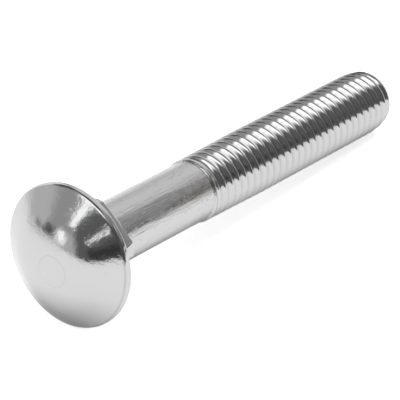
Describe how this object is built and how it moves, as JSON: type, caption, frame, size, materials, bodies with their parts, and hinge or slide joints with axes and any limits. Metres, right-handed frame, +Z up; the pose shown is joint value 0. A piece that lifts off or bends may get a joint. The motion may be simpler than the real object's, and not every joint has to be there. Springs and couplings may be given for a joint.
{
  "type": "carriage bolt",
  "caption": "Bright plated steel carriage bolt with a domed head, a square neck, a plain reduced shank and a long rolled coarse thread, lying on its rim and thread.",
  "frame": {"origin": "centre of the footprint, on the surface that the bolt lies on", "axes": "+X from the domed head to the threaded tip, +Z up"},
  "size_m": [0.0958, 0.0262, 0.0262],
  "materials": {
    "plated_steel": "bright zinc plating with fine rolling and forging marks"
  },
  "bodies": {
    "root": {"bolt": "plated_steel"}
  },
  "joints": []
}
